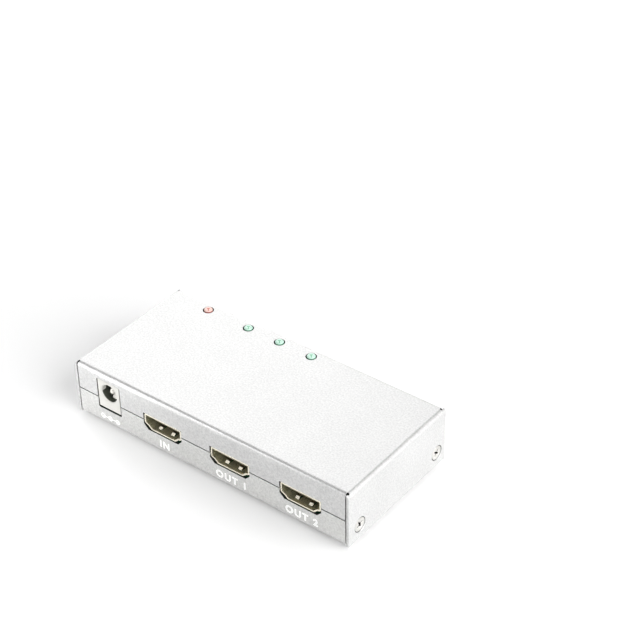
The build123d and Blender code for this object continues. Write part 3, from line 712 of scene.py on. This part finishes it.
def cross_head_screw():
    """One screw with its axis on Z, the head's face near z = 0 and the thread downwards."""
    screw = bmesh.new()
    cut_cross(screw)
    rim = bmesh.ops.create_circle(screw, segments=36, radius=head_radius)["verts"]
    rim_edges = [e for e in screw.edges if e.verts[0] in rim and e.verts[1] in rim]
    level_edges = [e for e in screw.edges if all(abs(v.co.z) < 1e-7 for v in e.verts)]
    mouth_edges = [e for e in level_edges if e not in rim_edges and len(e.link_faces) == 1]
    bmesh.ops.triangle_fill(screw, edges=rim_edges + mouth_edges, use_beauty=True)
    loop, radius = rim_edges, head_radius
    for new_radius, level in (
        (head_radius, -rim_height),
        (thread_radius, -head_height),
        (thread_radius, -screw_length),
    ):
        pushed = bmesh.ops.extrude_edge_only(screw, edges=loop)["geom"]
        ring = verts_in(pushed)
        loop = [part for part in pushed if isinstance(part, bmesh.types.BMEdge)]
        bmesh.ops.translate(screw, verts=ring, vec=(0, 0, level - ring[0].co.z))
        bmesh.ops.scale(screw, verts=ring, vec=(new_radius / radius, new_radius / radius, 1))
        radius = new_radius
    bmesh.ops.edgeloop_fill(screw, edges=loop)
    soft = [e for e in rim_edges + mouth_edges if e.is_valid]
    bmesh.ops.bevel(
        screw, geom=soft, offset=soft_edge, segments=2, profile=0.5, affect="EDGES", material=-1
    )
    bmesh.ops.translate(screw, verts=screw.verts, vec=(0, 0, -head_sunk))
    return screw


# %% [markdown]
# Two screws hold each side wall. No hand drives two screws to the same angle, so the two of a side
# are turned differently. Each sits a little below the wall. The thin dark ring of the countersink
# round it is partly its rim's own shade and partly painted shade, on the cut of the wall and on
# the screw's side below its face.

# %% Side screws
turns_in_degrees = (24, 51)
low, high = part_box("side_screws")
screw_level = (low.z + high.z) / 2
screw_rows = (low.y + (high.z - low.z) / 2, high.y - (high.z - low.z) / 2)
one_screw = cross_head_screw()
screws = bmesh.new()
for side in (-1, 1):
    for row, turn in zip(screw_rows, turns_in_degrees):
        place = (
            Matrix.Translation((side * high.x, row, screw_level))
            @ Matrix.Rotation(side * math.pi / 2, 4, "Y")
            @ Matrix.Rotation(math.radians(turn), 4, "Z")
        )
        copy_into(screws, one_screw, place)
one_screw.free()
show("cross_head_screws", screws, screw_nickel, ["side_screws"])

# %% [markdown]
# Painted shade darkens each recess by its depth, and with it the side of the head and the thread.
# A second material on the floor of the cross would end in a hard line, so the screws' own finish
# turns dark by depth below the wall.

# %% Painted shade in the recesses
unshaded_depth = 0.3 * mm
# Deeper than this below the wall the screw is painted shade.
painted_shade_in_recess = abs(screw_nickel.axis("X")) < high.x - unshaded_depth
recess_with_painted_shade = screw_nickel.blend(painted_shade_in_recess, screw_nickel.colour_so_far(), picked(40, 38, 36))
screw_nickel.set("Base Color", recess_with_painted_shade)
print("recesses turn dark at x in mm:", round((high.x - unshaded_depth) / mm, 2))

# %% [markdown]
# The feet are small moulded buttons of rubber, stuck under the tray: a taper, a rounded rim
# and a shallow dish in the sole that gives them grip. A cone with its sole pressed in would do,
# but one spun outline holds taper, rim and dish, and its two rounded corners come for free. It
# is made once and copied to the four corners of the CAD node.

# %% Rubber feet
low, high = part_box("rubber_feet")
foot_top = high.z
foot_radius = 4.0 * mm
sole_radius = foot_radius - 0.32 * mm
dish_mouth, dish_floor = foot_radius - 1.2 * mm, foot_radius - 1.7 * mm
dish_depth = 0.35 * mm
foot = turned(
    [
        (0, foot_top),
        (foot_radius, foot_top),
        (sole_radius, 0),
        (dish_mouth, 0),
        (dish_floor, dish_depth),
        (0, dish_depth),
    ],
    rounds=[(2, 0.3 * mm, 4), (4, 0.2 * mm, 3)],
)
feet = bmesh.new()
for x in (low.x + foot_radius, high.x - foot_radius):
    for y in (low.y + foot_radius, high.y - foot_radius):
        copy_into(feet, foot, Matrix.Translation((x, y, 0)))
foot.free()
show("moulded_feet", feet, foot_rubber, ["rubber_feet"])

# %% [markdown]
# A lamp's lens is a turned body with a domed end and a flange. Half a sphere on a cylinder would
# be too round, because such a lens is nearly flat on top. One spun outline with a large round at
# its shoulder gives that low dome, the wall and the flange in one closed skin.

# %% Lens of a lamp
lens_radius = 1.5 * mm
flange_radius, flange_height = 1.9 * mm, 1.0 * mm
edge_round = 0.62 * mm


def middle_of(node):
    """The middle of a node's box, seen from above."""
    low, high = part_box(node)
    return (low.x + high.x) / 2, (low.y + high.y) / 2


def dome_of(lamp):
    """The lens of one lamp, in its place."""
    low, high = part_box(f"{lamp}_lens")
    lens = turned(
        [
            (0, high.z),
            (lens_radius, high.z),
            (lens_radius, low.z + flange_height),
            (flange_radius, low.z + flange_height),
            (flange_radius, low.z),
            (0, low.z),
        ],
        rounds=[(1, edge_round, 10)],
        steps=48,
    )
    x, y = middle_of(f"{lamp}_lens")
    bmesh.ops.translate(lens, verts=lens.verts, vec=(x, y, 0))
    return lens


print("round of the lens in mm:", round(edge_round / mm, 2))

# %% [markdown]
# Two legs stand on the board and end inside the lens as the lead frame: a wide plate with the
# small bright cup that holds the light source, and a narrow one. The milky dome hides them
# almost wholly, but they are there in a cut view. Each is a cube pulled to its length, and each
# plate is drawn in a little at its top.

# %% Lead frame of a lamp
leg, half_leg_pitch, leg_in_lens = 0.5 * mm, 1.27 * mm, 0.6 * mm
frame_thickness, frame_start = 0.45 * mm, 0.4 * mm
frame_taper = 0.9
# Each plate is its shift from the middle, its width and its depth below the top of the dome.
wide_plate = (-0.32 * mm, 1.25 * mm, 0.7 * mm)
narrow_plate = (0.85 * mm, 0.6 * mm, 0.6 * mm)
cup_outline = [
    (0, 0),
    (0.28 * mm, 0),
    (0.52 * mm, 0.36 * mm),
    (0.6 * mm, 0.36 * mm),
    (0.42 * mm, -0.15 * mm),
    (0, -0.15 * mm),
]
square_edge = 1.4


def add_legs(legs, lamp):
    """The two legs of a lamp, from the board up into the lens."""
    x, y = middle_of(f"{lamp}_lens")
    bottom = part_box(f"{lamp}_legs")[0].z
    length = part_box(f"{lamp}_lens")[0].z + leg_in_lens - bottom
    for side in (-1, 1):
        one_leg = bmesh.ops.create_cube(legs, size=leg)["verts"]
        bmesh.ops.scale(legs, verts=one_leg, vec=(1, 1, length / leg))
        middle = (x + side * half_leg_pitch, y, bottom + length / 2)
        bmesh.ops.translate(legs, verts=one_leg, vec=middle)


def add_plates(legs, lamp):
    """The two plates of the lead frame, and the cup on the wide one."""
    low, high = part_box(f"{lamp}_lens")
    x, y = middle_of(f"{lamp}_lens")
    bottom = low.z + frame_start
    for shift, width, below_top in (wide_plate, narrow_plate):
        plate = bmesh.ops.create_cube(legs, size=1.0)["verts"]
        height = high.z - below_top - bottom
        centre = x + shift
        bmesh.ops.scale(legs, verts=plate, vec=(width, frame_thickness, height))
        bmesh.ops.translate(legs, verts=plate, vec=(centre, y, bottom + height / 2))
        upper = [v for v in plate if v.co.z > low.z + height / 2]
        about_centre = Matrix.Translation((-centre, -y, 0))
        narrowed = (frame_taper, frame_taper, 1)
        bmesh.ops.scale(legs, verts=upper, vec=narrowed, space=about_centre)
    cup = turned(cup_outline, steps=20)
    shift, _, below_top = wide_plate
    copy_into(legs, cup, Matrix.Translation((x + shift, y, high.z - below_top)))
    cup.free()


print("legs apart in mm:", round(2 * half_leg_pitch / mm, 2))

# %% [markdown]
# The four lamps are the same but for their places and their tints. The legs and the plates are
# blanked from sheet, which leaves a faint round on every square edge, and a narrow bevel on
# those edges alone gives it.

# %% Lamps
for lamp in lamps:
    show(f"{lamp}_dome", dome_of(lamp), lens_finish[lamp], [f"{lamp}_lens"])
    legs = bmesh.new()
    add_legs(legs, lamp)
    add_plates(legs, lamp)
    bmesh.ops.bevel(
        legs,
        geom=[e for e in legs.edges if e.calc_face_angle(0.0) > square_edge],
        offset=0.04 * mm,
        segments=1,
        profile=0.5,
        affect="EDGES",
        material=-1,
    )
    show(f"{lamp}_lead_frame", legs, tinned, [f"{lamp}_legs"])


# %% [markdown]
# Silk screen print is a flat film of ink. A mask in the paint could draw it, but letters are
# curves, which Math nodes draw badly, and real edges stay sharp from near by. So each word
# starts as a text curve, becomes a mesh, and is laid on the front face two hundredths of a
# millimetre proud. The words only say what a socket does.

# %% Printed words
front = cad_box[0].y
ink_height = 0.02 * mm
word_level = 3.6 * mm
word_shift = 0.5 * mm
cap_height = 2.5 * mm
caps_share_of_size = 0.7
boldness = 0.06 * cap_height
letter_spacing = 1.25


def printed_word(name, words, x, z):
    """Words on the front face, centred on x with their feet at z."""
    curve = bpy.data.curves.new(name, "FONT")
    curve.body = words
    curve.size = cap_height / caps_share_of_size
    curve.space_character = letter_spacing
    curve.align_x = "CENTER"
    curve.offset = boldness
    text = bpy.data.objects.new(name, curve)
    scene.collection.objects.link(text)
    bpy.context.view_layer.update()
    evaluated = text.evaluated_get(bpy.context.evaluated_depsgraph_get())
    flat = bpy.data.meshes.new_from_object(evaluated)
    bpy.data.objects.remove(text)
    place = Matrix.Translation((x, front - ink_height, z)) @ Matrix.Rotation(math.pi / 2, 4, "X")
    flat.transform(place)
    ink = bmesh.new()
    ink.from_mesh(flat)
    bpy.data.meshes.remove(flat)
    return ink


marks = bmesh.new()
for port, words in zip(ports, ("IN", "OUT 1", "OUT 2")):
    port_x = sum(corner.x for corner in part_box(f"{port}_shell")) / 2
    word = printed_word(f"{port}_word", words, port_x + word_shift, word_level)
    copy_into(marks, word, Matrix.Identity(4))
    word.free()
    print(words, "stands at x in mm:", round((port_x + word_shift) / mm, 2))

# %% [markdown]
# A power jack has a sign that tells its polarity: minus in a ring, a dot with a ring round it
# for the pin and the sleeve, and plus in a ring, joined by short bars. No letter of a typeface
# has these shapes. So the sign is laid out flat from circles and bars of ink, in its real
# sizes, and then stood up and moved to its place under the jack.

# %% Polarity sign
sign_level = 4.3 * mm
stroke = 0.32 * mm
sign_radius, dot_radius, plus_length = 0.95 * mm, 0.36 * mm, 0.8 * mm
minus_at, sleeve_at, plus_at = -3.4 * mm, -0.35 * mm, 2.85 * mm
left_bar, left_bar_at = 1.2 * mm, -1.85 * mm
right_bar, right_bar_at = 1.9 * mm, 1.0 * mm


def ring_of_ink(radius, inner):
    """A flat ring of ink on the front face, at the origin of the sign."""
    ring = bmesh.new()
    bmesh.ops.create_circle(ring, segments=28, radius=radius, cap_ends=inner == 0)
    if inner:
        inside = verts_in(bmesh.ops.extrude_edge_only(ring, edges=ring.edges[:])["geom"])
        bmesh.ops.scale(ring, verts=inside, vec=(inner / radius, inner / radius, 1))
    return ring


def bar_of_ink(length, width):
    """A flat bar of ink, longest along X."""
    bar = bmesh.new()
    bmesh.ops.create_grid(bar, x_segments=1, y_segments=1, size=0.5)
    bmesh.ops.scale(bar, verts=bar.verts, vec=(length, width, 1))
    return bar


on_front = Matrix.Translation((jack_x, front - ink_height, sign_level))
on_front = on_front @ Matrix.Rotation(math.pi / 2, 4, "X")
parts_of_sign = [
    (ring_of_ink(sign_radius, sign_radius - stroke), minus_at, 0),
    (bar_of_ink(plus_length, stroke), minus_at, 0),
    (bar_of_ink(left_bar, stroke), left_bar_at, 0),
    (ring_of_ink(sign_radius, sign_radius - stroke), sleeve_at, 0),
    (ring_of_ink(dot_radius, 0), sleeve_at, 0),
    (bar_of_ink(right_bar, stroke), right_bar_at, 0),
    (ring_of_ink(sign_radius, sign_radius - stroke), plus_at, 0),
    (bar_of_ink(plus_length, stroke), plus_at, 0),
    (bar_of_ink(plus_length, stroke), plus_at, math.pi / 2),
]
for part, shift, turn in parts_of_sign:
    place = Matrix.Translation((shift, 0, 0)) @ Matrix.Rotation(turn, 4, "Z")
    copy_into(marks, part, on_front @ place)
    part.free()
for face in marks.faces:
    if face.normal.y > 0:
        face.normal_flip()
show("front_print", marks, print_ink, recalculate=False)

# %% [markdown]
# The floor is one large pale sheet. A camera sees it a little brighter than the light makes it,
# by a glow that only camera, glossy and glass rays meet, so the background turns white while
# the shadow under the object stays. Near the case the glow is faint. It grows with distance,
# because far from the lamps the sheet would fade to grey in a low view. At its far edges the
# sheet is folded up into a backdrop, so that a low view meets white above the horizon too.

# %% Floor
half_floor, backdrop_height = 5.0, 1.5
floor_mesh = bmesh.new()
bmesh.ops.create_grid(floor_mesh, x_segments=1, y_segments=1, size=half_floor)
raised = verts_in(bmesh.ops.extrude_edge_only(floor_mesh, edges=floor_mesh.edges[:])["geom"])
bmesh.ops.translate(floor_mesh, verts=raised, vec=(0, 0, backdrop_height))
floor_data = bpy.data.meshes.new("studio_floor")
floor_mesh.to_mesh(floor_data)
floor_mesh.free()
floor = bpy.data.objects.new("studio_floor", floor_data)
scene.collection.objects.link(floor)
print("floor in metres:", 2 * half_floor, "across")

# %% [markdown]
# The glow could be more light in the room, but that would bleach the case too. Light Path tells
# which rays ask, so only what is seen or mirrored turns white. The distance from the case comes
# from the object's own coordinates, and one mix turns it into the strength of the glow.

# %% Glow of the floor
floor_finish = Finish("floor_paper", picked(240, 240, 240), 0.9)
rays = "ShaderNodeLightPath"
seen = floor_finish.node(rays, output="Is Camera Ray")
for kind in ("Is Glossy Ray", "Is Transmission Ray"):
    seen = seen.maths("MAXIMUM", seen, floor_finish.node(rays, output=kind))
floor_x, floor_y = floor_finish.axis("X"), floor_finish.axis("Y")
from_case = floor_x * floor_x + floor_y * floor_y
from_case = from_case.maths("SQRT", from_case)
near_glow, near_reach, far_reach = 0.12, 0.2, 0.7
far = (from_case - near_reach) / (far_reach - near_reach)
glow = floor_finish.blend(far, (near_glow, near_glow, near_glow, 1), (1, 1, 1, 1))
floor_finish.set("Emission Color", floor_finish.blend(seen, (0, 0, 0, 1), glow))
floor_finish.set("Emission Strength", 1.0)
floor_data.materials.append(floor_finish.material)
print("the glow grows from", near_reach, "to", far_reach, "metres")

# %% [markdown]
# The light is that of a small product tent. A white world gives the even level, and the large
# key panel above the right side lights the top and the right wall. A folded edge shows a bright
# line only where it mirrors a lamp, and each lamp draws its own line along the bend. So the
# small panels are placed by mirroring the view in the bend: one for the line along the front,
# one for the line down the right side, one low for the sockets' fingers. The wide fill keeps
# the front from going dark when it is seen from the right. A tiny lamp close to the jack makes
# the left end of the front fade towards white.

# %% Light
world = bpy.data.worlds.new("studio_world")
scene.world = world
world.use_nodes = True
background = world.node_tree.nodes["Background"]
background.inputs["Color"].default_value = (1, 1, 1, 1)
background.inputs["Strength"].default_value = 0.25


def panel(name, direction, distance, width, height, watts):
    """A soft light panel that faces the case from the given direction."""
    data = bpy.data.lights.new(name, "AREA")
    data.shape = "RECTANGLE"
    data.size = width
    data.size_y = height
    data.energy = watts
    light = bpy.data.objects.new(name, data)
    scene.collection.objects.link(light)
    towards = Vector(direction).normalized()
    light.location = towards * distance
    light.rotation_mode = "QUATERNION"
    light.rotation_quaternion = (-towards).to_track_quat("-Z", "Y")
    light.visible_camera = False
    print(name, "gives", watts, "W")


panel("key_panel", (0.85, 0.0, 0.52), 0.9, 0.9, 0.9, 11.3)
panel("back_left_panel", (-0.66, 0.56, 0.50), 0.9, 0.7, 0.9, 3.9)
panel("front_left_panel", (-0.50, -0.66, 0.56), 0.9, 0.12, 0.12, 0.8)
panel("back_right_panel", (0.59, 0.64, 0.49), 0.9, 0.16, 0.16, 0.1)
panel("low_left_panel", (-0.66, -0.70, 0.26), 0.3, 0.1, 0.1, 0.11)
panel("left_end_card", (-0.70, -0.70, 0.16), 0.086, 0.02, 0.02, 0.005)
panel("front_right_fill", (0.66, -0.66, 0.36), 1.1, 1.2, 0.6, 0.6)

scene.view_settings.view_transform = "Standard"
